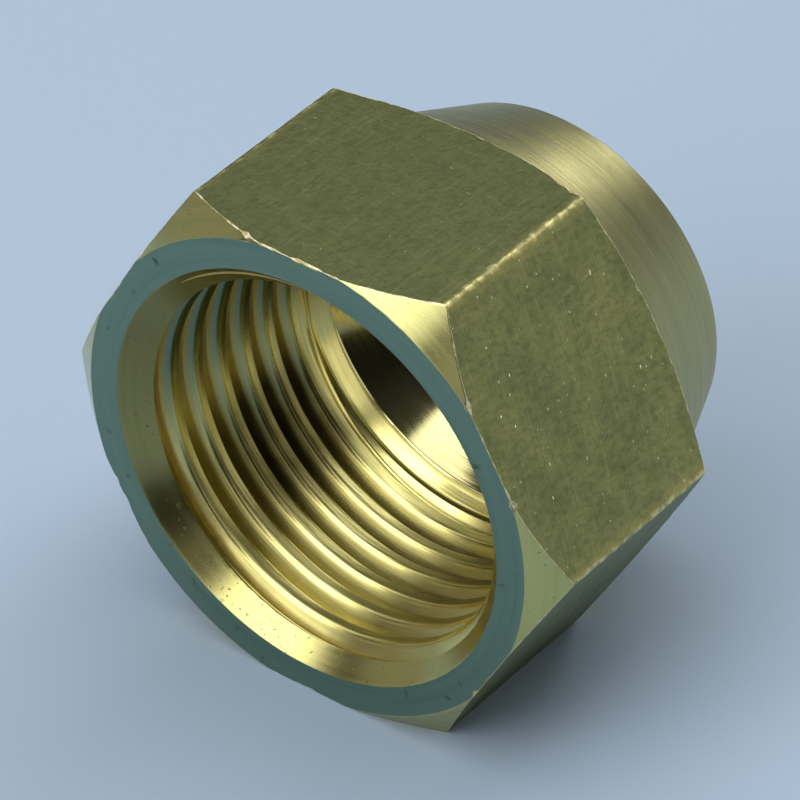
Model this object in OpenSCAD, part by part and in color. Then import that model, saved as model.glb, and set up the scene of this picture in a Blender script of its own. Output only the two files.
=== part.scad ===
// Short flare nut for half-inch soft tube, turned in one piece from brass hexagon bar.
// The nut lies on one of its six flats. Its bore runs along Y: the thread opens in the
// front face, at y = 0, and the tube leaves through the nose at the back. Millimetres.

/* [Hexagon] */
// Width across the flats of the bar
across_flats = 22.2; // [21:0.1:26]
// Radius of the bar's drawn corners
bar_edge_r = 0.2; // [0.05:0.05:0.6]
// Distance from the front face to the back end of each flat, at its middle
hex_length = 11.2; // [10.5:0.1:12]
// Diameter of the flat front face, inside its chamfer
face_d = 22.5; // [21.2:0.1:23.4]
// Angle between the front chamfer and the face
front_chamfer_angle = 39; // [20:1:45]
// Angle between the back chamfer and a plane square to the bore
back_chamfer_angle = 27; // [15:1:45]

/* [Nose] */
// Length of the whole nut
overall_length = 17.5; // [16.5:0.1:20]
// Width of the step from the middle of a flat down to the nose
nose_step = 0.2; // [0.05:0.05:1]
// Diameter of the nose at its end, before its edge is rounded
nose_end_d = 16.7; // [15.6:0.1:18]
// Radius of the rounded edge at the end of the nose
nose_edge_r = 0.35; // [0.1:0.05:0.6]

/* [Thread] */
// Major diameter of the thread, at its roots
thread_major_d = 19.05; // [18.8:0.05:19.4]
// Minor diameter of the thread, at its crests
thread_minor_d = 17.5; // [17.3:0.05:17.9]
// Distance from one turn of the thread to the next
thread_pitch = 1.5875; // [1.25:0.0125:1.75]
// Depth at which the groove of the thread starts to run out
thread_depth = 11.3; // [9.5:0.1:11.4]
// Turns in which the groove then rises out of the wall
runout_turns = 0.5; // [0.25:0.05:0.6]
// Where the groove passes the front face, in degrees clockwise from its right side
thread_start_angle = 173; // [0:1:359]
// Diameter of the countersink where it opens in the face
mouth_d = 19.7; // [19.2:0.1:20.4]
// Included angle of the countersink
mouth_angle = 90; // [70:5:120]

/* [Seat and tube hole] */
// Depth at which the plain bore behind the thread meets the seat
seat_depth = 12.5; // [12.4:0.1:13]
// Included angle of the seat, which presses on the flared end of the tube
seat_angle = 90; // [80:2:100]
// Diameter of the hole that the tube passes through
tube_hole_d = 12.95; // [12:0.05:13.4]
// Radius of the rounded edge between the seat and the tube hole
seat_edge_r = 0.8; // [0.2:0.1:1]
// Radius of the rounded edge where the tube hole leaves the nose
hole_edge_r = 0.3; // [0.1:0.05:0.5]

/* [Hidden] */
$fn = 144;

over = 1;                 // how far a cutter reaches past what it cuts
groove_reach = 0.15;      // how far the groove's cutter reaches inside the crests
thread_steps = 36;        // flat steps in one turn of the groove
arc_steps = 5;            // flat steps in one rounded edge

flat_r = across_flats / 2;
corner_r = across_flats / sqrt(3);
turned_r = corner_r + over;
face_r = face_d / 2;
nose_base_r = flat_r - nose_step;
nose_end_r = nose_end_d / 2;
nose_angle = atan((nose_base_r - nose_end_r) / (overall_length - hex_length));

major_r = thread_major_d / 2;
minor_r = thread_minor_d / 2;
mouth_r = mouth_d / 2;
mouth_depth = (mouth_r - minor_r) / tan(mouth_angle / 2);
tube_r = tube_hole_d / 2;
seat_end = seat_depth + (minor_r - tube_r) / tan(seat_angle / 2);

// The groove has the 60 degree section of a unified thread, and its root is a flat of
// an eighth of the pitch. It comes in from half a turn in front of the face.
thread_angle = 60;
root_flat = thread_pitch / 8;
first_turn = -0.5;
full_turn = thread_depth / thread_pitch;
last_turn = full_turn + runout_turns;
groove_in_r = minor_r - groove_reach;
groove_end_r = groove_in_r + groove_reach / 2;

// A corner of an outline, rounded: points on the arc of radius r that touches the two
// lines that leave the corner at the angles "from" and "to".
function round_corner(corner, from, to, r) =
    let (turn = (to - from + 540) % 360 - 180,
         middle = from + turn / 2,
         centre = corner + r / sin(abs(turn) / 2) * [cos(middle), sin(middle)],
         start = from - sign(turn) * 90,
         sweep = -sign(turn) * (180 - abs(turn)))
    [for (i = [0 : arc_steps])
        let (angle = start + sweep * i / arc_steps)
        centre + r * [cos(angle), sin(angle)]];

// Outline of the hexagon bar. One flat is at the bottom, and one is on top.
bar_outline = [for (angle = [0 : 60 : 300])
    each round_corner(corner_r * [cos(angle), sin(angle)], angle - 120, angle + 120, bar_edge_r)];

// Outline of the turned outside, as [radius, depth]. The flats of the bar cut into it.
outside_outline = concat(
    [[0, 0],
     [face_r, 0],
     [turned_r, (turned_r - face_r) * tan(front_chamfer_angle)],
     [turned_r, hex_length - (turned_r - flat_r) * tan(back_chamfer_angle)],
     [flat_r, hex_length],
     [nose_base_r, hex_length]],
    round_corner([nose_end_r, overall_length], nose_angle - 90, 180, nose_edge_r),
    [[0, overall_length]]);

// Outline of the bore: countersink, thread crests, plain bore, seat and tube hole.
bore_outline = concat(
    [[0, -over],
     [mouth_r + over * tan(mouth_angle / 2), -over],
     [minor_r, mouth_depth],
     [minor_r, seat_depth]],
    round_corner([tube_r, seat_end], seat_angle / 2 - 90, 90, seat_edge_r),
    round_corner([tube_r, overall_length], -90, 0, hole_edge_r),
    [[tube_r + over, overall_length],
     [tube_r + over, overall_length + over],
     [0, overall_length + over]]);

// Radius of the groove's root. It is the major radius up to the runout.
function root_r(turn) =
    let (left = turn < full_turn ? 1 : (last_turn - turn) / runout_turns)
    groove_end_r + (major_r - groove_end_r) * sin(90 * left);

// The four corners of the groove's section, at its place on the helix.
function groove_section(turn) =
    let (angle = thread_start_angle + 360 * turn,
         out_r = root_r(turn),
         root = root_flat / 2,
         mouth = root + (out_r - groove_in_r) * tan(thread_angle / 2))
    [for (point = [[groove_in_r, -mouth], [out_r, -root], [out_r, root], [groove_in_r, mouth]])
        [point[0] * cos(angle), point[0] * sin(angle), thread_pitch * turn + point[1]]];

// The right-hand helical groove, as the solid that the thread tool sweeps out.
module thread_groove() {
    steps = ceil((last_turn - first_turn) * thread_steps);
    turn_step = (last_turn - first_turn) / steps;
    points = [for (i = [0 : steps]) each groove_section(first_turn + i * turn_step)];
    sides = [for (i = [0 : steps - 1], k = [0 : 3])
        let (a = 4 * i + k, b = 4 * i + (k + 1) % 4)
        each [[a, b, a + 4], [b, b + 4, a + 4]]];
    ends = [[3, 2, 1, 0], [for (k = [0 : 3]) 4 * steps + k]];
    polyhedron(points, concat(sides, ends));
}

// The bar, turned to shape from both ends.
module turned_bar() {
    intersection() {
        linear_extrude(overall_length) polygon(bar_outline);
        rotate_extrude() polygon(outside_outline);
    }
}

// One brass piece. It is made standing on its face, and then laid down along Y.
module flare_nut() {
    color([0.62, 0.54, 0.28])
    rotate([-90, 0, 0])
    difference() {
        turned_bar();
        rotate_extrude() polygon(bore_outline);
        thread_groove();
    }
}

flare_nut();
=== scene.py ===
import bpy, bmesh, math
from mathutils import Matrix, Vector, noise


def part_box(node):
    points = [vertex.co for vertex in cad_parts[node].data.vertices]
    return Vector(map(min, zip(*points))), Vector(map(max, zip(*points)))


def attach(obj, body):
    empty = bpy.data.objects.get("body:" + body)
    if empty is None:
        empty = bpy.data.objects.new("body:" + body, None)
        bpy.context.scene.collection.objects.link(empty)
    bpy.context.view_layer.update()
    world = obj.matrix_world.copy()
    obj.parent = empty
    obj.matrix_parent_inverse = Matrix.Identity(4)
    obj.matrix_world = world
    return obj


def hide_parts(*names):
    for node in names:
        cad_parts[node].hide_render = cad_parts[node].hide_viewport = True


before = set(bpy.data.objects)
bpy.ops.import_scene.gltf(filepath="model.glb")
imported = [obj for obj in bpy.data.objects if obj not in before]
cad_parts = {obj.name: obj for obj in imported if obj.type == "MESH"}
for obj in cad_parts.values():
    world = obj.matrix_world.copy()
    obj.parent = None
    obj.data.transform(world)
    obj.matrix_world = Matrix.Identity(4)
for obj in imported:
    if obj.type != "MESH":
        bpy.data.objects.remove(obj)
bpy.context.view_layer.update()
lowCorner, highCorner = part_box("flare_nut")
mm = 0.001

print("stage: sizes")
closest = 0.0005 * mm              # points nearer than this become one point
hair = 0.0001 * mm                 # what counts as no distance at all

# the hexagon bar, turned from both ends; angles in degrees
bar = {
    "acrossFlats": highCorner.z - lowCorner.z,
    "length": highCorner.y,
    "drawnEdge": 0.2 * mm,         # rounding of the bar's corners
    "hexLength": 11.2 * mm,
    "faceRadius": 11.25 * mm,
    "frontChamfer": 39,            # from the face
    "backChamfer": 27,             # from a plane square to the bore
    "turnedEdge": 0.09 * mm,       # rounding where a turned surface meets a flat, before wear
    "edgeSteps": 3,                # steps in each such rounding
    "chamferMargin": 0.05 * mm,    # from the edges of the chamfer to the rows that keep it true
    "largestMargin": 0.3,          # the same where the chamfer is narrow, as a share of it
    "noseStep": 0.2 * mm,
    "noseEndRadius": 8.35 * mm,
    "noseEdge": 0.35 * mm,
    "columns": 720,
    "crowding": 0.7,               # how strongly the columns gather at the six corners
    "sharpAngle": 40,              # steeper edges are shaded sharp
}
# the bore, from the countersunk mouth to the tube hole
bore = {
    "mouthRadius": 9.85 * mm,
    "mouthEdge": 0.05 * mm,
    "crestRadius": 8.75 * mm,
    "rootRadius": 9.525 * mm,
    "pitch": 1.5875 * mm,
    "rootShare": 1 / 8,            # width of the root's flat, in pitches
    "flankAngle": 30,              # from a plane square to the bore
    "startAngle": 173,             # where the groove passes the face, clockwise from the right
    "fullDepth": 10.3 * mm,        # where the groove starts to rise out of the wall
    "runoutTurns": 0.5,
    "runoutTrace": 0.2 * mm,       # how far the mouth of the groove still is from its root at the end
    "frontCrestEdge": 0.4 * mm,    # rounding of the crest on the side that faces the mouth
    "backCrestEdge": 0.04 * mm,
    "rootEdge": 0.06 * mm,
    "seatDepth": 12.5 * mm,
    "tubeRadius": 6.475 * mm,
    "seatTopEdge": 0.05 * mm,
    "seatEdge": 0.8 * mm,
    "holeEdge": 0.3 * mm,
    "collar": 0.1 * mm,            # strip of the body that meets the threaded wall, at each end
    "seam": 0.01 * mm,             # gap between the two, which is bridged
    "columns": 360,
}
# burrs and small dents that the tools and the bin have left on the edges
wear = {
    "burrLengths": (0.5 * mm, 1.8 * mm),
    "longBurrs": 0.6,              # how much the long burrs count beside the short ones
    "leastRounding": 0.4,          # the next three are shares of the turned edge's rounding
    "burrRounding": 1.8,
    "nickRounding": 2.7,
    "nicks": (104.5, 42.5, 19.5, 228, 322),    # where the front ends of the flats are chipped
    "nickWidth": 1.3,              # these are angles, counterclockwise from the right
    "backTurn": 20,                # how much further round the back ends are chipped
    "ridgeCuts": 90,               # cuts along each corner of the bar
    "ridgeWidth": 0.3 * mm,        # how far from the corner its dents reach
    "ridgeDent": 0.05 * mm,
    "leastDent": 0.002 * mm,
    "dentLengths": (0.28 * mm, 1.4 * mm),
    "mouthTear": 0.02 * mm,        # how far the edge of the countersink is torn
    "tornAngle": 245,              # where it is torn the most, and how far on either side
    "tornSpread": 40,
    "tearLengths": (0.3 * mm, 0.25 * mm),      # along the bore, and out from it
}
finishes = ["facedEnd", "frontChamfer", "drawnFlats", "brokenEdge", "turnedNose", "countersink",
            "cutThread", "turnedSeat"]


def arcPoints(corner, fromAngle, toAngle, radius, steps=4):
    # a rounded corner of an outline: its two lines leave it at these angles, in degrees
    turn = (toAngle - fromAngle + 540) % 360 - 180
    middle = math.radians(fromAngle + turn / 2)
    away = radius / math.sin(math.radians(abs(turn) / 2))
    centre = Vector(corner) + away * Vector((math.cos(middle), math.sin(middle)))
    start = fromAngle - math.copysign(90, turn)
    sweep = -math.copysign(180 - abs(turn), turn)
    angles = [math.radians(start + sweep * step / steps) for step in range(steps + 1)]
    return [centre + radius * Vector((math.cos(angle), math.sin(angle))) for angle in angles]


def edgePoints(centre, fromNormal, toNormal, radius):
    # a rounded edge, as the points where its normal turns from one angle to the other
    steps = bar["edgeSteps"]
    normals = [math.radians(fromNormal + (toNormal - fromNormal) * step / steps) for step in range(steps + 1)]
    return [centre + radius * Vector((math.cos(normal), math.sin(normal))) for normal in normals]


def polar(vert):
    # the angle of a point round the bore, counterclockwise from the right, and its radius
    return math.atan2(vert.co.z, vert.co.x), math.hypot(vert.co.x, vert.co.z)


def setRadius(vert, wanted):
    radius = polar(vert)[1]
    vert.co.x *= wanted / radius
    vert.co.z *= wanted / radius


def offCorner(angle):
    # degrees from this direction to the nearest corner of the bar
    return abs((math.degrees(angle) + 30) % 60 - 30)


def waves(place, length, seed=0):
    # smooth noise from -1 to 1, with waves of this length
    return noise.noise(Vector(place) / length + Vector((seed, 0, 0)))


def barReach(angle):
    # how far the bar reaches from its axis in this direction, its drawn corners rounded
    turn = math.radians(offCorner(angle))
    halfCorner = math.radians(30)
    rounding = bar["drawnEdge"]
    centre = (bar["acrossFlats"] / 2 - rounding) / math.cos(halfCorner)
    if math.tan(turn) < rounding * math.sin(halfCorner) / (centre + rounding * math.cos(halfCorner)):
        return centre * math.cos(turn) + math.sqrt(rounding ** 2 - (centre * math.sin(turn)) ** 2)
    return bar["acrossFlats"] / 2 / math.cos(halfCorner - turn)


def mouthOutline():
    # the outer strip of the countersink and its edge on the face
    collar = bore["collar"]
    rows = [Vector((bore["mouthRadius"] - collar, collar))]
    return rows + arcPoints((bore["mouthRadius"], 0), 135, 0, bore["mouthEdge"], 3)


def wornEdge(angle, seed, nickTurn):
    # the rounding of a turned edge: burrs have broken off here and there, and it is chipped
    place = bar["faceRadius"] * Vector((math.cos(angle), 0, math.sin(angle)))
    short, long = wear["burrLengths"]
    burrs = waves(place, short, seed) + wear["longBurrs"] * waves(place, long, seed + 6)
    share = wear["leastRounding"] + wear["burrRounding"] * max(0, burrs)
    for nick in wear["nicks"]:
        away = abs((math.degrees(angle) - nick - nickTurn + 180) % 360 - 180)
        share += wear["nickRounding"] * max(0, 1 - away / wear["nickWidth"])
    return bar["turnedEdge"] * share


def barOutline(reach, rounding, backRounding):
    # from the face to the foot of the nose, where the bar reaches this far from its axis
    middle = reach - rounding
    backMiddle = reach - backRounding
    front = math.radians(bar["frontChamfer"])
    back = math.radians(bar["backChamfer"])
    flatRadius = bar["acrossFlats"] / 2
    end = bar["hexLength"]

    faceEdge = min(middle, bar["faceRadius"] - rounding * math.tan(front / 2))
    frontDepth = max(rounding, rounding / math.cos(front) + (middle - bar["faceRadius"]) * math.tan(front))
    backDepth = min(end - backRounding,
                    end - backRounding / math.cos(back) - (backMiddle - flatRadius) * math.tan(back))
    backEdge = min(backMiddle, flatRadius - backRounding * math.tan(back / 2))

    inner = edgePoints(Vector((faceEdge, rounding)), -90, bar["frontChamfer"] - 90, rounding)
    outer = edgePoints(Vector((middle, frontDepth)), bar["frontChamfer"] - 90, 0, rounding)
    # two more rows keep the chamfer true between its edges
    chamfer = outer[0] - inner[-1]
    margin = min(bar["largestMargin"], bar["chamferMargin"] / max(chamfer.length, hair))
    rows = inner + [inner[-1] + chamfer * margin, outer[0] - chamfer * margin] + outer
    rows += edgePoints(Vector((backMiddle, backDepth)), 0, 90 - bar["backChamfer"], backRounding)
    rows += edgePoints(Vector((backEdge, end - backRounding)), 90 - bar["backChamfer"], 90, backRounding)
    return rows


def noseOutline():
    foot = bar["acrossFlats"] / 2 - bar["noseStep"]
    slope = math.degrees(math.atan2(foot - bar["noseEndRadius"], bar["length"] - bar["hexLength"]))
    rows = [Vector((foot, bar["hexLength"]))]
    return rows + arcPoints((bar["noseEndRadius"], bar["length"]), slope - 90, 180, bar["noseEdge"])


def seatOutline():
    # from the end of the tube hole, over the seat, to the strip of plain bore in front of it
    seatEnd = bore["seatDepth"] + bore["crestRadius"] - bore["tubeRadius"]
    rows = arcPoints((bore["tubeRadius"], bar["length"]), 0, -90, bore["holeEdge"])
    rows += arcPoints((bore["tubeRadius"], seatEnd), 90, -45, bore["seatEdge"], 6)
    rows += arcPoints((bore["crestRadius"], bore["seatDepth"]), 135, -90, bore["seatTopEdge"], 3)
    return rows + [Vector((bore["crestRadius"], bore["seatDepth"] - bore["collar"]))]


def turnBody():
    # the outline is spun round the bore, and then each column is set to the reach of the bar
    mesh = bmesh.new()
    rowNumber = mesh.verts.layers.int.new("row")

    def outline(angle):
        worn = wornEdge(angle, 0, 0), wornEdge(angle, 5, wear["backTurn"])
        return mouthOutline() + barOutline(barReach(angle), *worn) + noseOutline() + seatOutline()

    verts = [mesh.verts.new((point.x, point.y, 0)) for point in outline(0)]
    for number, vert in enumerate(verts):
        vert[rowNumber] = number
    edges = [mesh.edges.new(pair) for pair in zip(verts, verts[1:])]
    bmesh.ops.spin(mesh, geom=verts + edges, cent=(0, 0, 0), axis=(0, 1, 0), angle=math.tau,
                   steps=bar["columns"], use_merge=True)

    # the first row of each of the bar's four edges, of the nose and of the seat
    edgeRows = bar["edgeSteps"] + 1
    faceRow = len(mouthOutline())
    frontRow = faceRow + edgeRows + 2
    backRow, footRow, noseRow = [frontRow + count * edgeRows for count in (1, 2, 3)]
    seatRow = noseRow + len(noseOutline())
    columns = {}
    for vert in mesh.verts:
        angle = polar(vert)[0]
        crowded = angle - bar["crowding"] * math.sin(6 * angle) / 6
        column = round(angle / math.tau * bar["columns"])
        if column not in columns:
            columns[column] = outline(crowded)
        if faceRow <= vert[rowNumber] < noseRow:
            angle = crowded
        radius, depth = columns[column][vert[rowNumber]]
        vert.co = (radius * math.cos(angle), depth, radius * math.sin(angle))

    # the finishes, from the last to the first, with the row at which the next one starts
    ends = ((seatRow, "turnedNose"), (footRow, "brokenEdge"), (backRow + 1, "drawnFlats"),
            (backRow, "brokenEdge"), (frontRow + 1, "frontChamfer"), (faceRow + 2, "facedEnd"),
            (faceRow - 2, "countersink"))
    for face in mesh.faces:
        row = max(vert[rowNumber] for vert in face.verts)
        named = "turnedSeat"
        for end, finish in ends:
            if row < end:
                named = finish
        face.material_index = finishes.index(named)

    # each corner of the bar is cut across, so that it can be dented
    ridgeAngle = math.degrees(wear["ridgeWidth"] / bar["faceRadius"])
    ridges = []
    for edge in mesh.edges:
        rows = sorted(vert[rowNumber] for vert in edge.verts)
        if rows == [backRow - 1, backRow] and offCorner(polar(edge.verts[0])[0]) < ridgeAngle:
            ridges.append(edge)
    bmesh.ops.subdivide_edges(mesh, edges=ridges, cuts=wear["ridgeCuts"], use_grid_fill=True)
    dentCorners(mesh, rowNumber, frontRow + 1, backRow + bar["edgeSteps"])
    bmesh.ops.remove_doubles(mesh, verts=mesh.verts, dist=closest)
    return mesh


def dentCorners(mesh, rowNumber, firstRow, endRow):
    # the chamfers stay as they were turned
    corner = bar["acrossFlats"] / math.sqrt(3)
    shortLength, longLength = wear["dentLengths"]
    for vert in mesh.verts:
        angle, radius = polar(vert)
        if radius < bar["acrossFlats"] / 2 or not firstRow <= vert[rowNumber] < endRow:
            continue
        away = corner * math.radians(offCorner(angle))
        closeness = max(0, 1 - away / wear["ridgeWidth"]) ** 2
        long = waves(vert.co, longLength, 3)
        short = waves(vert.co, shortLength, 7)
        depth = wear["ridgeDent"] * closeness * (0.35 + 0.65 * max(0, long + 0.1)) * (0.5 + short)
        setRadius(vert, radius - max(wear["leastDent"], depth))


def threadSection():
    # one pitch of the wall, from the middle of one crest to the next, with a groove between
    flank = bore["flankAngle"]
    halfRoot = bore["pitch"] * bore["rootShare"] / 2
    halfMouth = halfRoot + (bore["rootRadius"] - bore["crestRadius"]) * math.tan(math.radians(flank))
    rows = [Vector((bore["crestRadius"], -bore["pitch"] / 2))]
    rows += arcPoints((bore["crestRadius"], -halfMouth), -90, flank, bore["backCrestEdge"], 2)
    rows += arcPoints((bore["rootRadius"], -halfRoot), 180 + flank, 90, bore["rootEdge"], 2)
    rows += arcPoints((bore["rootRadius"], halfRoot), -90, 180 - flank, bore["rootEdge"], 2)
    rows += arcPoints((bore["crestRadius"], halfMouth), -flank, 90, bore["frontCrestEdge"], 6)
    return rows


def tapBore():
    # the section is repeated along the bore and spun one turn as a screw, so its ends meet
    mesh = bmesh.new()
    rowNumber = mesh.verts.layers.int.new("row")
    pitch = bore["pitch"]
    section = threadSection()
    firstGroove = -bore["startAngle"] / 360 * pitch
    verts = []
    for turn in range(-1, math.ceil(bore["seatDepth"] / pitch) + 2):
        for number, point in enumerate(section):
            vert = mesh.verts.new((point.x, firstGroove + turn * pitch + point.y, 0))
            vert[rowNumber] = number
            verts.append(vert)
    edges = [mesh.edges.new(pair) for pair in zip(verts, verts[1:])]
    bmesh.ops.spin(mesh, geom=verts + edges, cent=(0, 0, 0), axis=(0, 1, 0), angle=math.tau,
                   dvec=(0, pitch / bore["columns"], 0), steps=bore["columns"])
    bmesh.ops.remove_doubles(mesh, verts=mesh.verts, dist=closest)
    runOut(mesh, rowNumber, section)

    # the countersink's cone is a plane in a mesh that is sheared by its own radius
    shear(mesh, 1)
    bmesh.ops.bisect_plane(mesh, geom=mesh.verts[:] + mesh.edges[:] + mesh.faces[:], dist=closest,
                           plane_co=(0, 0, 0), plane_no=(0, 1, 0))
    inCone = [vert for vert in mesh.verts if vert.co.y < hair]
    coneFaces = {face for face in mesh.faces if face.calc_center_median().y < -hair}
    shear(mesh, -1)
    lip = [vert for vert in inCone if any(face not in coneFaces for face in vert.link_faces)]
    for face in mesh.faces:
        face.material_index = finishes.index("countersink" if face in coneFaces else "cutThread")
    for vert in inCone:
        setRadius(vert, bore["mouthRadius"] - vert.co.y)
    tearLip(lip)
    return mesh


def runOut(mesh, rowNumber, section):
    # near its end the groove gets shallow and narrow, until it is level with the wall
    pitch = bore["pitch"]
    crest = bore["crestRadius"]
    fullCut = bore["rootRadius"] - crest
    halfRun = fullCut * math.tan(math.radians(bore["flankAngle"])) - bore["runoutTrace"]
    lastTurn = bore["fullDepth"] / pitch + bore["runoutTurns"]
    for vert in mesh.verts:
        number = vert[rowNumber]
        place = section[number]
        turn = (vert.co.y - place.y) / pitch
        left = min(1, max(0, (lastTurn - turn) / bore["runoutTurns"]))
        share = 1 - math.sin(math.radians(90 * left))
        if place.x > crest + fullCut / 2:
            setRadius(vert, place.x - share * fullCut)
        else:
            setRadius(vert, crest + (place.x - crest) * (1 - share))
            if number > 0:         # the middle of the crest stays in its place
                vert.co.y -= math.copysign(share * halfRun, place.y)


def shear(mesh, way):
    for vert in mesh.verts:
        vert.co.y += way * (polar(vert)[1] - bore["mouthRadius"])


def tearLip(lip):
    # the inner edge of the countersink is torn, most of all at the lower left
    along, outwards = wear["tearLengths"]
    for vert in lip:
        away = abs(math.degrees(polar(vert)[0]) % 360 - wear["tornAngle"])
        torn = wear["mouthTear"] * (0.25 + 0.75 * max(0, 1 - away / wear["tornSpread"]))
        vert.co.y += torn * waves(vert.co, along, 2)
        setRadius(vert, polar(vert)[1] + torn * waves(vert.co, outwards, 9))


def joinWall(body, wall):
    # the wall is cut to length, put between the two collars of the body and bridged to them
    front = bore["collar"] + bore["seam"]
    back = bore["seatDepth"] - bore["collar"] - bore["seam"]
    for depth, side in ((front, -1), (back, 1)):
        bmesh.ops.bisect_plane(wall, geom=wall.verts[:] + wall.edges[:] + wall.faces[:], dist=hair,
                               plane_co=(0, depth, 0), plane_no=(0, side, 0), clear_outer=True)
    data = bpy.data.meshes.new("wall")
    wall.to_mesh(data)
    body.from_mesh(data)
    bpy.data.meshes.remove(data)
    between = bore["seatDepth"] / 2
    for low, high, finish in ((-between, between, "countersink"), (between, bar["length"], "turnedSeat")):
        rims = [edge for edge in body.edges if edge.is_boundary and low < edge.verts[0].co.y < high]
        for face in bmesh.ops.bridge_loops(body, edges=rims)["faces"]:
            face.material_index = finishes.index(finish)
    bmesh.ops.recalc_face_normals(body, faces=body.faces)


def shadeSmooth(body):
    # the edge between the countersink and the thread is sharp wherever it runs
    lip = {"countersink", "cutThread"}
    for face in body.faces:
        face.smooth = True
    for edge in body.edges:
        kinds = {finishes[face.material_index] for face in edge.link_faces}
        edge.smooth = edge.calc_face_angle() < math.radians(bar["sharpAngle"]) and kinds != lip


def fromMesh(name, mesh):
    data = bpy.data.meshes.new(name)
    mesh.to_mesh(data)
    made = bpy.data.objects.new(name, data)
    bpy.context.collection.objects.link(made)
    return made


print("stage: nut")
body = turnBody()
joinWall(body, tapBore())
shadeSmooth(body)
nut = fromMesh("turned_nut", body)
weighted = nut.modifiers.new("weighted", "WEIGHTED_NORMAL")
weighted.keep_sharp = True
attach(nut, "root")
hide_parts("flare_nut")
print("nut", len(body.verts), "points,", len(body.faces), "faces, open edges",
      sum(not edge.is_manifold for edge in body.edges))

# the colours of each finish: mostly a dark and a light tone of the brass, and then its marks; some tones
# carry painted light, painted shade and painted reflections, as marked below
tones = {
    # the face's two tones are teal, a painted reflection of blue surroundings
    "facedEnd": {"dark": (0.13, 0.22, 0.17), "light": (0.22, 0.31, 0.225), "stain": (0.08, 0.1, 0.07)},
    "frontChamfer": {"dark": (0.4, 0.39, 0.15), "light": (0.58, 0.55, 0.22), "fleck": (0.2, 0.18, 0.08)},
    # on every other flat, the top one among them, the dark tone is painted shade
    "drawnFlats": {"dark": (0.145, 0.17, 0.075), "light": (0.29, 0.305, 0.115), "cloud": (0.12, 0.15, 0.07),
                   "scratch": (0.42, 0.42, 0.18), "fibre": (0.085, 0.1, 0.045), "pit": (0.1, 0.1, 0.05),
                   "beside": (0.5, 0.42, 0.14), "rubbed": (0.82, 0.74, 0.34), "spark": (0.98, 0.94, 0.62)},
    "brokenEdge": {"dark": (0.55, 0.46, 0.2), "light": (1, 0.92, 0.62)},
    "turnedNose": {"dark": (0.28, 0.26, 0.1), "light": (0.5, 0.46, 0.18)},
    # the countersink's darkest tone is painted shade, on its left side
    "countersink": {"dark": (0.4, 0.36, 0.13), "light": (0.56, 0.52, 0.2), "paintedCountersinkShade": (0.1, 0.09, 0.04)},
    # the thread's tones: painted light below and a painted highlight on the lower crests, painted shade at
    # the top, on the left and on the lower right, and a painted blue reflection on the crests' rounded sides
    "cutThread": {"dark": (0.3, 0.18, 0.015), "light": (0.84, 0.75, 0.28), "paintedShadeLeft": (0.08, 0.06, 0.015),
                  "paintedShadeLowerRight": (0.2, 0.15, 0.04), "band": (0.5, 0.42, 0.14), "cloud": (0.5, 0.44, 0.16),
                  "rounded": (0.13, 0.25, 0.2), "crest": (0.95, 0.88, 0.38), "smear": (0.85, 0.62, 0.2)},
    "turnedSeat": {"dark": (0.46, 0.42, 0.19), "light": (0.58, 0.54, 0.26)},
}


class Wire:
    # one socket of a finish; arithmetic on it adds Math nodes
    def __init__(self, finish, socket):
        self.finish = finish
        self.socket = socket

    def __add__(self, other):
        return self.finish.math("ADD", self, other)

    def __sub__(self, other):
        return self.finish.math("SUBTRACT", self, other)

    def __rsub__(self, other):
        return self.finish.math("SUBTRACT", other, self)

    def __mul__(self, other):
        return self.finish.math("MULTIPLY", self, other)

    def __truediv__(self, other):
        return self.finish.math("DIVIDE", self, other)

    __radd__ = __add__
    __rmul__ = __mul__


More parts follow.
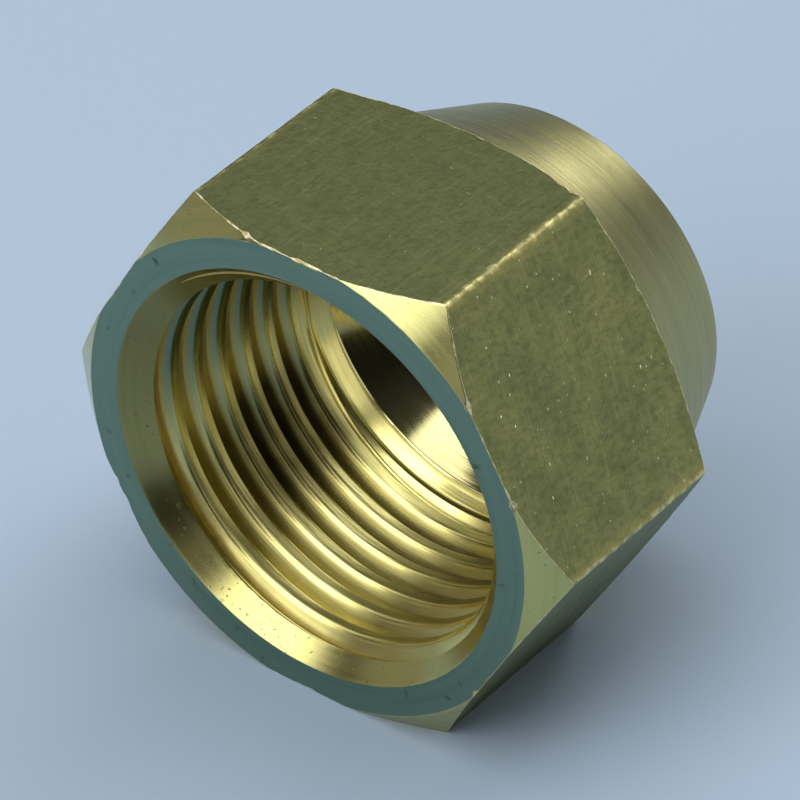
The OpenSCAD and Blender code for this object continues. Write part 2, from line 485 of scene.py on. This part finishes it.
class Finish:
    # one brass finish: its shader, and places on the nut in mm for the nodes that vary it
    def __init__(self, name, metallic=1):
        self.material = bpy.data.materials.new(name)
        self.material.use_nodes = True
        self.tones = tones[name]
        self.tree = self.material.node_tree
        self.shader = self.tree.nodes["Principled BSDF"]
        self.shader.inputs["Metallic"].default_value = metallic
        coordinates = self.add("TexCoord", {}, {}, "Object")
        self.place = self.add("VectorMath", {"operation": "SCALE"}, {0: coordinates, "Scale": 1 / mm})
        self.x = self.add("SeparateXYZ", {}, {0: self.place}, "X")
        self.y = self.add("SeparateXYZ", {}, {0: self.place}, "Y")
        self.z = self.add("SeparateXYZ", {}, {0: self.place}, "Z")
        self.radius = self.math("SQRT", self.x * self.x + self.z * self.z)
        self.turn = self.math("ARCTAN2", self.z, self.x)

    def add(self, kind, settings, sockets, output=0):
        node = self.tree.nodes.new("ShaderNode" + kind)
        for setting, value in settings.items():
            setattr(node, setting, value)
        for socket, value in sockets.items():
            if isinstance(value, Wire):
                self.tree.links.new(value.socket, node.inputs[socket])
            else:
                node.inputs[socket].default_value = value
        return Wire(self, node.outputs[output])

    def math(self, operation, *values):
        return self.add("Math", {"operation": operation}, dict(enumerate(values)))

    def grain(self, across, along, around, detail=2, roughness=0.5):
        # noise from 0 to 1 at a place whose three parts are stretched already
        place = self.add("CombineXYZ", {}, {0: across, 1: along, 2: around})
        sockets = {"Vector": place, "Scale": 1, "Detail": detail, "Roughness": roughness}
        return self.add("TexNoise", {}, sockets)

    def mottle(self, scale, detail=3):
        return self.add("TexNoise", {}, {"Vector": self.place, "Scale": scale, "Detail": detail})

    def step(self, value, low, high):
        # 0 below low and 1 above high, with a soft rise between
        return self.add("MapRange", {"interpolation_type": "SMOOTHSTEP"}, {0: value, 1: low, 2: high})

    def near(self, value, middle, inner, outer):
        # 1 within the inner distance from the middle, and 0 beyond the outer one
        return 1 - self.step(self.math("ABSOLUTE", value - middle), inner, outer)

    def shade(self, factor, low, high):
        # a colour between two others; each is a wire, or the name of a tone
        pair = [other if isinstance(other, Wire) else (*self.tones[other], 1) for other in (low, high)]
        return self.add("Mix", {"data_type": "RGBA"}, {0: factor, 6: pair[0], 7: pair[1]}, 2)

    def colour(self, wire):
        self.tree.links.new(wire.socket, self.shader.inputs["Base Color"])

    def roughness(self, wire):
        self.tree.links.new(wire.socket, self.shader.inputs["Roughness"])

    def relief(self, height):
        # the height of the surface, in mm, raises its tool marks
        bump = self.add("Bump", {}, {"Strength": 1, "Distance": mm, "Height": height}, "Normal")
        self.tree.links.new(bump.socket, self.shader.inputs["Normal"])


def rings(finish, along, fine, broad):
    # tool marks that run round the bore, even and fine, with broader bands among them
    marks = finish.grain(along * fine, finish.x * 0.16, finish.z * 0.16, 1)
    bands = finish.grain(along * broad, finish.x * 0.1, finish.z * 0.1, 3)
    return marks, bands


def facedEnd():
    finish = Finish("facedEnd")
    marks, bands = rings(finish, finish.radius, 13, 3)
    stain = finish.step(finish.mottle(1.1), 0.63, 0.72)
    # the teal of the face is a painted reflection of blue surroundings
    finish.colour(finish.shade(stain * 0.7, finish.shade(bands, "dark", "light"), "stain"))
    finish.roughness(0.22 + 0.16 * bands + 0.2 * stain)
    finish.relief(marks * 0.006 + bands * 0.004 + stain * 0.01)
    return finish.material


def frontChamfer():
    finish = Finish("frontChamfer")
    marks, bands = rings(finish, finish.radius + finish.y, 12, 2.5)
    fleck = finish.step(finish.mottle(3.5), 0.68, 0.74)
    finish.colour(finish.shade(fleck * 0.6, finish.shade(bands, "dark", "light"), "fleck"))
    finish.roughness(0.13 + 0.1 * bands + 0.2 * fleck)
    finish.relief(marks * 0.0012 + bands * 0.0012)
    return finish.material


def drawnFlats():
    finish = Finish("drawnFlats")
    sixth = math.radians(60)
    flat = finish.math("FLOOR", finish.turn / sixth)
    across = finish.radius * finish.math("SINE", finish.turn - (flat + 0.5) * sixth)
    # every other flat shows the slanting marks of the abrasive more than the next and is painted lighter; the
    # others, the top flat among them, are darker, as painted shade
    clearMarksAndPaintedLight = 1 - 1.4 * (flat * 0.5 - finish.math("FLOOR", flat * 0.5))
    slant = finish.y - across * 0.19 + across * across * 0.012
    cross = finish.grain(slant * 7, across * 0.45, flat * 7.3, 3, 0.6)
    crossFine = finish.grain(slant * 17, across * 1.1, flat * 3.1, 2)
    drawn = finish.grain(across * 3.5, finish.y * 0.18, flat * 5.7, 4, 0.6)
    fibre = finish.grain(finish.y * 2.2 + across * 0.8, across * 3.5, flat * 4.4, 4, 0.65)
    pits = finish.mottle(5, 4)
    cloud = finish.mottle(0.6, 4)
    line = finish.step(cross, 0.5, 0.72) * clearMarksAndPaintedLight
    spark = finish.step(finish.grain(slant * 7, across * 2.6, flat * 9.1, 1), 0.74, 0.78) * clearMarksAndPaintedLight
    pale = finish.step(drawn, 0.54, 0.75) * (0.3 + 0.7 * clearMarksAndPaintedLight)
    # the bar's corners are rubbed bright, unevenly, and the flats beside them a little
    corner = bar["acrossFlats"] / 2 / math.sqrt(3) / mm
    offMiddle = finish.math("ABSOLUTE", across)
    patches = finish.mottle(1.6, 6)
    bits = finish.step(finish.mottle(2.6, 5), 0.46, 0.58)
    rubbed = finish.step(offMiddle + patches * 0.5, corner + 0.01, corner + 0.25) * (0.25 + 0.75 * bits)
    beside = finish.step(offMiddle + patches * 0.9, corner - 0.21, corner + 0.34) * clearMarksAndPaintedLight

    # painted shade: every other flat, the top one among them, takes the dark tone, the rest the light one
    brass = finish.shade(clearMarksAndPaintedLight, "dark", "light")
    brass = finish.shade(finish.step(cloud, 0.35, 0.7) * 0.3, brass, "cloud")
    brass = finish.shade(line * 0.4 + pale * 0.4, brass, "scratch")
    brass = finish.shade(finish.step(fibre, 0.42, 0.7) * 0.4, brass, "fibre")
    brass = finish.shade(finish.step(pits, 0.58, 0.74) * 0.35, brass, "pit")
    brass = finish.shade(beside * 0.45, brass, "beside")
    brass = finish.shade(rubbed * 0.9, brass, "rubbed")
    finish.colour(finish.shade(spark, brass, "spark"))
    finish.roughness(0.4 + 0.16 * cloud - 0.18 * spark)
    finish.relief(cross * clearMarksAndPaintedLight * 0.015 + crossFine * 0.004 + drawn * 0.007 + pits * 0.01 + fibre * 0.012)
    return finish.material


def brokenEdge():
    # where burrs have broken off, the bare grain of the metal scatters the light
    finish = Finish("brokenEdge", metallic=0.5)
    torn = finish.mottle(4, 4)
    finish.colour(finish.shade(finish.step(torn, 0.4, 0.6), "dark", "light"))
    finish.roughness(0.65 - 0.3 * torn)
    finish.relief(torn * 0.04)
    return finish.material


def turnedNose():
    finish = Finish("turnedNose")
    marks, bands = rings(finish, finish.y, 15, 4)
    broad = finish.grain(finish.y * 1.2, finish.x * 0.2, finish.z * 0.2, 2)
    finish.colour(finish.shade(bands, "dark", "light"))
    finish.roughness(0.3 + 0.16 * broad)
    finish.relief(marks * 0.022 + bands * 0.016 + broad * 0.004)
    return finish.material


def countersink():
    finish = Finish("countersink")
    marks, bands = rings(finish, finish.y - finish.radius, 12, 3)
    # painted shade: the countersink is painted darker on its left side
    paintedCountersinkShade = finish.step(0 - finish.x, 5, 9) * 0.5       # on the left
    spark = finish.step(finish.mottle(6, 1), 0.7, 0.76)
    finish.colour(finish.shade(paintedCountersinkShade, finish.shade(bands, "dark", "light"), "paintedCountersinkShade"))
    finish.roughness(0.2 + 0.08 * bands)
    finish.relief(marks * 0.0012 + bands * 0.001 + spark * 0.05)
    return finish.material


def cutThread():
    finish = Finish("cutThread")
    # from one groove's middle to the next, the same marks of the tap run along every turn
    turns = finish.y * (mm / bore["pitch"]) + finish.turn / math.tau + (bore["startAngle"] - 360) / 360
    marks, bands = rings(finish, finish.math("FRACT", turns) * (bore["pitch"] / mm), 13, 4.5)
    cloud = finish.mottle(0.7)
    # beside the countersink's edge the metal is smeared and rough
    torn = finish.mottle(5, 4)
    fromMouth = finish.y + finish.radius - bore["mouthRadius"] / mm
    smear = 1 - finish.step(fromMouth + torn * 0.25, 0.45, 0.6)
    # the lower side is painted lighter than the sides and the top: painted light below, painted shade above
    # and at the sides
    paintedLightBelow = finish.step(0 - finish.z, -2, 6)
    brass = finish.shade(paintedLightBelow, "dark", "light")
    # painted shade darkens the thread on the left, behind the first turns, and less on the lower right,
    # but not in the plain bore behind the thread
    tapped = finish.step(11 - finish.y, 0, 1)
    paintedShadeLeft = finish.near(finish.turn, math.radians(-143), 0.15, 0.5) * finish.step(finish.y, 3, 6) * tapped
    paintedShadeLowerRight = finish.near(finish.turn, math.radians(-61), 0.12, 0.34) * tapped * 0.55
    brass = finish.shade(paintedShadeLeft * 0.85, brass, "paintedShadeLeft")
    brass = finish.shade(paintedShadeLowerRight, brass, "paintedShadeLowerRight")
    brass = finish.shade(finish.step(bands, 0.3, 0.7) * (0.12 + 0.18 * paintedLightBelow), brass, "band")
    brass = finish.shade(finish.step(cloud, 0.4, 0.7) * (0.12 + 0.18 * paintedLightBelow), brass, "cloud")
    # at the top and the left the rounded side of each crest is painted duller and cooler: painted shade with
    # a painted blue reflection
    fromCrest = finish.radius - bore["crestRadius"] / mm
    rounded = (1 - finish.step(fromCrest, 0.2, 0.4)) * (1 - paintedLightBelow) * tapped
    brass = finish.shade(rounded * 0.75, brass, "rounded")
    # the crests still have the marks of the drill, which spread the light; on the lower side they are also
    # painted pale, as a painted highlight
    crest = (1 - finish.step(fromCrest, 0.02, 0.08)) * paintedLightBelow * (1 - finish.step(finish.y, 10.6, 11))
    drilled = finish.grain(finish.y * 9, finish.x * 0.16, finish.z * 0.16, 2)
    # painted highlight: the crests of the lower side are painted pale
    brass = finish.shade(crest * 0.7 * (1 - paintedShadeLeft - paintedShadeLowerRight), brass, "crest")
    finish.colour(finish.shade(smear * 0.8, brass, "smear"))
    finish.roughness(0.15 + 0.1 * cloud + 0.08 * bands + 0.25 * smear + 0.15 * crest)
    finish.relief(marks * 0.004 + bands * 0.008 + smear * torn * 0.09 + crest * drilled * 0.05)
    return finish.material


def turnedSeat():
    finish = Finish("turnedSeat")
    marks, bands = rings(finish, finish.y - finish.radius, 12, 3)
    finish.colour(finish.shade(bands, "dark", "light"))
    finish.roughness(0.08 + 0.08 * bands)
    finish.relief(marks * 0.0015 + bands * 0.002)
    return finish.material


print("stage: finishes")
# in the order of the list of finishes, which the faces are numbered by
for made in (facedEnd, frontChamfer, drawnFlats, brokenEdge, turnedNose, countersink, cutThread, turnedSeat):
    nut.data.materials.append(made())

print("stage: studio")
studio = {
    "floorRadius": 3,
    "floorSides": 96,
    "floorColour": (0.45, 0.57, 0.72, 1),
    "floorRoughness": 0.8,
    "backdrop": (0.7, 0.8, 0.93, 1),
    "lowSky": 0.012,               # light of the room level with the nut, and overhead
    "highSky": 0.06,
    "skyRise": (0.3, 0.8),         # heights between which the one turns into the other
    # the ceiling box: the place of its middle, its size and its power
    "ceiling": ((-0.08, -0.15, 0.35), (0.4, 0.89), 1.7),
}
# each soft box: azimuth from the front, elevation, distance, width, height, power
softBoxes = {
    "key": (-13, 29, 0.5, 0.384, 0.384, 0.62),
    "core": (-14, 40, 0.5, 0.42, 0.14, 0.12),
    "fill": (20, 14, 0.6, 0.17, 0.22, 0.055),
    "left": (-66, 10, 0.6, 0.4, 0.3, 0.14),
    "back": (165, 48, 0.5, 0.35, 0.14, 0.4),
    "side": (136, 15, 0.6, 0.36, 0.36, 0.4),
    "rear": (-171, 16, 0.5, 0.09, 0.18, 0.25),
}


def direction(azimuth, elevation):
    # from the nut; azimuth 0 is straight in front of it
    azimuth, elevation = math.radians(azimuth), math.radians(elevation)
    level = Vector((math.sin(azimuth), -math.cos(azimuth), 0))
    return level * math.cos(elevation) + Vector((0, 0, math.sin(elevation)))


def layFloor():
    mesh = bmesh.new()
    bmesh.ops.create_circle(mesh, cap_ends=True, radius=studio["floorRadius"], segments=studio["floorSides"])
    bmesh.ops.translate(mesh, verts=mesh.verts, vec=(0, 0, lowCorner.z))
    floor = fromMesh("floor", mesh)
    material = bpy.data.materials.new("floor")
    material.use_nodes = True
    shader = material.node_tree.nodes["Principled BSDF"]
    shader.inputs["Base Color"].default_value = studio["floorColour"]
    shader.inputs["Roughness"].default_value = studio["floorRoughness"]
    floor.data.materials.append(material)


def roomLight():
    # the room is darker level with the nut than overhead; the camera itself sees the backdrop
    world = bpy.data.worlds.new("studio")
    bpy.context.scene.world = world
    world.use_nodes = True
    nodes, links = world.node_tree.nodes, world.node_tree.links
    room = nodes["Background"]
    room.inputs["Color"].default_value = (1, 1, 1, 1)
    backdrop = nodes.new("ShaderNodeBackground")
    backdrop.inputs["Color"].default_value = studio["backdrop"]
    path = nodes.new("ShaderNodeLightPath")
    seen = nodes.new("ShaderNodeMixShader")
    looking = nodes.new("ShaderNodeTexCoord")
    parts = nodes.new("ShaderNodeSeparateXYZ")
    rise = nodes.new("ShaderNodeMapRange")
    rise.interpolation_type = "SMOOTHSTEP"
    rise.inputs["From Min"].default_value, rise.inputs["From Max"].default_value = studio["skyRise"]
    rise.inputs["To Min"].default_value = studio["lowSky"]
    rise.inputs["To Max"].default_value = studio["highSky"]
    links.new(looking.outputs["Generated"], parts.inputs["Vector"])
    links.new(parts.outputs["Z"], rise.inputs["Value"])
    links.new(rise.outputs["Result"], room.inputs["Strength"])
    links.new(path.outputs["Is Camera Ray"], seen.inputs[0])
    links.new(room.outputs[0], seen.inputs[1])
    links.new(backdrop.outputs[0], seen.inputs[2])
    links.new(seen.outputs[0], nodes["World Output"].inputs["Surface"])


def areaLamp(name, place, size, power):
    light = bpy.data.lights.new(name, "AREA")
    light.shape = "RECTANGLE"
    light.size, light.size_y = size
    light.energy = power
    lamp = bpy.data.objects.new(name, light)
    lamp.location = place
    bpy.context.collection.objects.link(lamp)
    return lamp


layFloor()
roomLight()
areaLamp("ceiling", *studio["ceiling"])
for name, (azimuth, elevation, distance, width, height, power) in softBoxes.items():
    away = direction(azimuth, elevation)
    lamp = areaLamp(name, away * distance, (width, height), power)
    lamp.rotation_euler = away.to_track_quat("Z", "Y").to_euler()

print("stage: camera")
# distances in hexagon widths: how far back the camera is, and how far its aim is off the face's middle
camera = {
    "azimuth": 37.692,
    "elevation": 37.738,
    "roll": -0.349,
    "distance": 11.857,
    "right": 0.1779,
    "up": 0.148,
    "focalLength": 6443.8 / 800,   # in picture widths
    "sensor": 36,
}


def placeCamera():
    azimuth, roll = math.radians(camera["azimuth"]), math.radians(camera["roll"])
    back = direction(camera["azimuth"], camera["elevation"])
    level = Vector((math.cos(azimuth), math.sin(azimuth), 0))
    upright = back.cross(level)
    right = math.cos(roll) * level + math.sin(roll) * upright
    up = math.cos(roll) * upright - math.sin(roll) * level
    data = bpy.data.cameras.new("camera")
    data.sensor_width = camera["sensor"]
    data.lens = camera["focalLength"] * camera["sensor"]
    made = bpy.data.objects.new("camera", data)
    bpy.context.collection.objects.link(made)
    made.rotation_euler = Matrix((right, up, back)).transposed().to_euler()
    place = back * camera["distance"] + right * camera["right"] + up * camera["up"]
    made.location = bar["acrossFlats"] * place
    bpy.context.scene.camera = made


placeCamera()
bpy.context.scene.view_settings.view_transform = "Standard"
